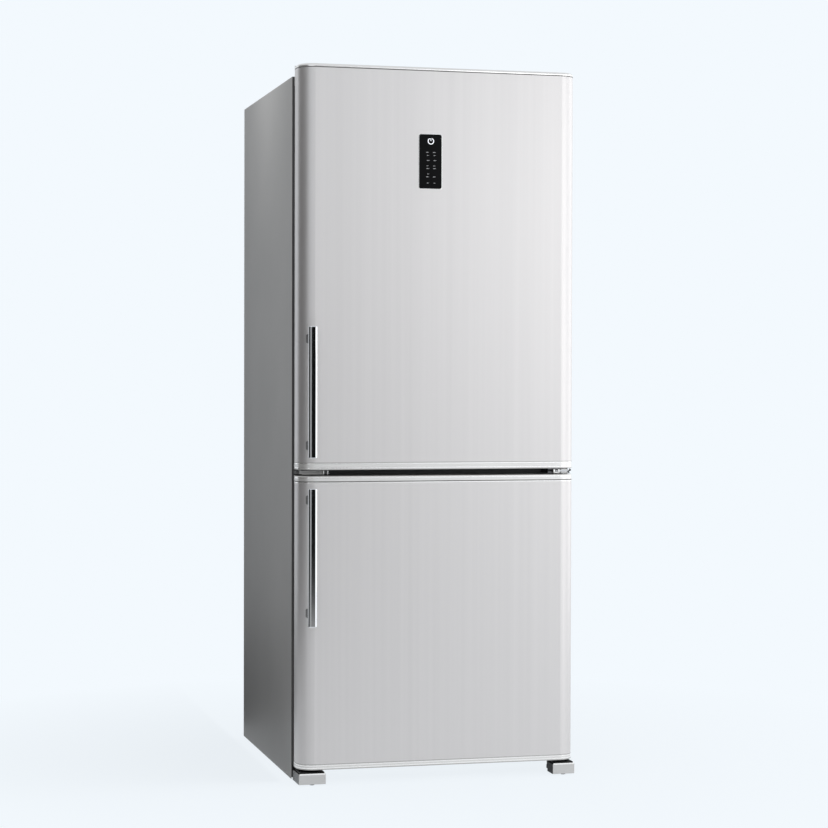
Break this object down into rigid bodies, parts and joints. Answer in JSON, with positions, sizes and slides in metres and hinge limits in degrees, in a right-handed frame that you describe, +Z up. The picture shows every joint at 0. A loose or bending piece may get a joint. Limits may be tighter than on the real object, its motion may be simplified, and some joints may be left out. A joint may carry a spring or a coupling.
{
  "type": "refrigerator",
  "caption": "Free-standing refrigerator with a fridge compartment above a freezer, two right-hinged doors with upright bar handles, drawers, shelves and door bins.",
  "frame": {"origin": "on the floor under the middle of the whole object's box", "axes": "+Z up, doors face -Y, hinges on the +X side"},
  "size_m": [0.7, 0.792, 1.725],
  "materials": {
    "silver_skin": "vertical brushed satin silver",
    "silver_cap": "silver painted plastic",
    "side_paint": "grey painted steel with a fine grain",
    "zinc_sheet": "zinc coated sheet",
    "black_steel": "black satin paint",
    "hinge_steel": "zinc plated steel",
    "chrome": "polished",
    "handle_post": "metallic grey",
    "trim_silver": "silver painted plastic",
    "grey_plastic": "fine grained plastic",
    "liner_white": "white moulded sheet",
    "foam": "rigid foam",
    "gasket": "soft grey seal",
    "display_black": "high gloss",
    "clear_plastic": "clear with a faint blue",
    "shelf_glass": "tempered",
    "shelf_trim": "pale grey",
    "lamp_lens": "milky lens",
    "compressor_black": "black enamel",
    "copper": "drawn copper and steel tube",
    "tray_plastic": "black",
    "aluminium": "mill finish fins",
    "motor_plastic": "black moulded",
    "board_green": "circuit board",
    "foot_black": "hard plastic"
  },
  "bodies": {
    "cabinet": {"cabinet_shell": "side_paint", "back_panel": "zinc_sheet", "cabinet_foam": "foam", "fridge_liner": "liner_white", "freezer_liner": "liner_white", "front_cross_rail": "black_steel", "base_rail": "black_steel", "foot_covers": "trim_silver", "gap_cover": "trim_silver", "top_hinge": "hinge_steel", "middle_hinge": "hinge_steel", "lower_hinge": "black_steel", "hinge_screws": "hinge_steel", "top_hinge_cover": "grey_plastic", "compressor_tray": "zinc_sheet", "compressor": "compressor_black", "condenser_coil": "copper", "drip_tray": "tray_plastic", "rear_cover": "zinc_sheet", "control_board": "board_green", "evaporator": "aluminium", "freezer_back_panel": "liner_white", "fan_motor": "motor_plastic", "air_duct": "liner_white", "cabin_lamp": "lamp_lens", "crisper_cover": "shelf_glass", "shelf_lower": "shelf_glass", "shelf_middle": "shelf_glass", "shelf_upper": "shelf_glass", "shelf_frames": "shelf_trim"},
    "fridge_door": {"fridge_door_skin": "silver_skin", "fridge_door_foam": "foam", "fridge_door_bottom_cap": "silver_cap", "fridge_door_top_cap": "silver_cap", "fridge_door_liner": "liner_white", "fridge_door_gasket": "gasket", "fridge_handle": "chrome", "fridge_handle_posts": "handle_post", "display_panel": "display_black", "door_bin_lower": "clear_plastic", "door_bin_middle": "clear_plastic", "door_bin_upper": "clear_plastic"},
    "freezer_door": {"freezer_door_skin": "silver_skin", "freezer_door_foam": "foam", "freezer_door_bottom_cap": "silver_cap", "freezer_door_top_cap": "silver_cap", "freezer_door_liner": "liner_white", "freezer_door_gasket": "gasket", "freezer_handle": "chrome", "freezer_handle_posts": "handle_post"},
    "crisper_left": {"crisper_left": "clear_plastic"},
    "crisper_right": {"crisper_right": "clear_plastic"},
    "freezer_drawer_lower": {"freezer_drawer_lower": "clear_plastic"},
    "freezer_drawer_middle": {"freezer_drawer_middle": "clear_plastic"},
    "freezer_drawer_upper": {"freezer_drawer_upper": "clear_plastic"},
    "fan": {"fan_blades": "motor_plastic"},
    "foot_left": {"foot_left": "foot_black"},
    "foot_right": {"foot_right": "foot_black"},
    "roller_left": {"roller_left": "foot_black"},
    "roller_right": {"roller_right": "foot_black"}
  },
  "joints": [
    {"name": "fridge_door_hinge", "type": "hinge", "parent": "cabinet", "child": "fridge_door", "pos_m": [0.324, -0.309, 1.1], "axis": [0, 0, 1], "range_deg": [0, 110]},
    {"name": "freezer_door_hinge", "type": "hinge", "parent": "cabinet", "child": "freezer_door", "pos_m": [0.324, -0.309, 0.4], "axis": [0, 0, 1], "range_deg": [0, 110]},
    {"name": "crisper_left_slide", "type": "slide", "parent": "cabinet", "child": "crisper_left", "axis": [0, -1, 0], "range_m": [0, 0.3]},
    {"name": "crisper_right_slide", "type": "slide", "parent": "cabinet", "child": "crisper_right", "axis": [0, -1, 0], "range_m": [0, 0.3]},
    {"name": "freezer_drawer_lower_slide", "type": "slide", "parent": "cabinet", "child": "freezer_drawer_lower", "axis": [0, -1, 0], "range_m": [0, 0.22]},
    {"name": "freezer_drawer_middle_slide", "type": "slide", "parent": "cabinet", "child": "freezer_drawer_middle", "axis": [0, -1, 0], "range_m": [0, 0.32]},
    {"name": "freezer_drawer_upper_slide", "type": "slide", "parent": "cabinet", "child": "freezer_drawer_upper", "axis": [0, -1, 0], "range_m": [0, 0.32]},
    {"name": "fan_spin", "type": "hinge", "parent": "cabinet", "child": "fan", "pos_m": [0, 0.2475, 0.623], "axis": [0, 1, 0], "continuous": true},
    {"name": "foot_left_screw", "type": "slide", "parent": "cabinet", "child": "foot_left", "axis": [0, 0, -1], "range_m": [0, 0.012]},
    {"name": "roller_left_spin", "type": "hinge", "parent": "cabinet", "child": "roller_left", "pos_m": [-0.3, 0.336, 0.018], "axis": [1, 0, 0], "continuous": true},
    {"name": "foot_right_screw", "type": "slide", "parent": "cabinet", "child": "foot_right", "axis": [0, 0, -1], "range_m": [0, 0.012]},
    {"name": "roller_right_spin", "type": "hinge", "parent": "cabinet", "child": "roller_right", "pos_m": [0.3, 0.336, 0.018], "axis": [1, 0, 0], "continuous": true}
  ],
  "couplings": [
    {"joint": "crisper_left_slide", "follows": "fridge_door_hinge", "m_per_rad": 0.105},
    {"joint": "crisper_right_slide", "follows": "fridge_door_hinge", "m_per_rad": 0.105},
    {"joint": "freezer_drawer_lower_slide", "follows": "freezer_door_hinge", "m_per_rad": 0.1},
    {"joint": "freezer_drawer_middle_slide", "follows": "freezer_door_hinge", "m_per_rad": 0.1},
    {"joint": "freezer_drawer_upper_slide", "follows": "freezer_door_hinge", "m_per_rad": 0.1}
  ]
}
